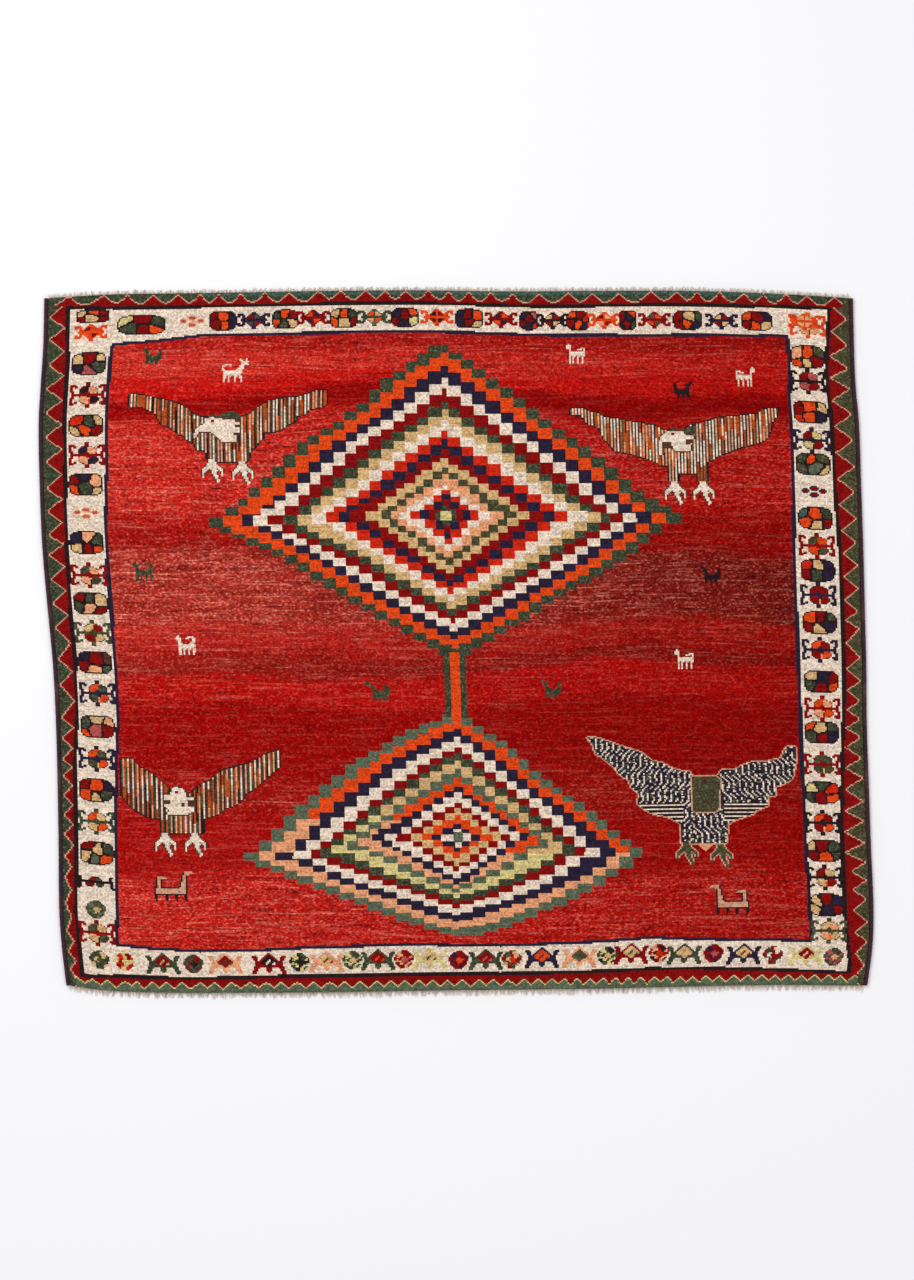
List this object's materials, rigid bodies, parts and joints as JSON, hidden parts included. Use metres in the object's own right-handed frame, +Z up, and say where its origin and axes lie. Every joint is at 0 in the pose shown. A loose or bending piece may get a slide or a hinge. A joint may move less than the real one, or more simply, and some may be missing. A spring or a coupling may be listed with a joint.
{
  "type": "shiraz rug",
  "caption": "Hand-knotted pile rug lying flat, a slightly uneven oblong with overcast side cords and a very short warp fringe across each end.",
  "frame": {"origin": "middle of the rug's box, on the floor that it lies on", "axes": "+X across the rug, the longer way; +Y along the warps, towards the end at the top of the picture; +Z up out of the pile"},
  "size_m": [1.6282, 1.3956, 0.01],
  "materials": {
    "pile": "clipped wool pile in reds, ivory, dark green, navy, orange and camel, with a soft sheen",
    "selvedge_wool": "dark purple-brown wool overcast round the side warps",
    "warp_wool": "undyed ivory wool warp ends, matt"
  },
  "bodies": {
    "root": {"rug_body": "pile", "selvedge_left": "selvedge_wool", "selvedge_right": "selvedge_wool", "fringe_top": "warp_wool", "fringe_bottom": "warp_wool"}
  },
  "joints": []
}
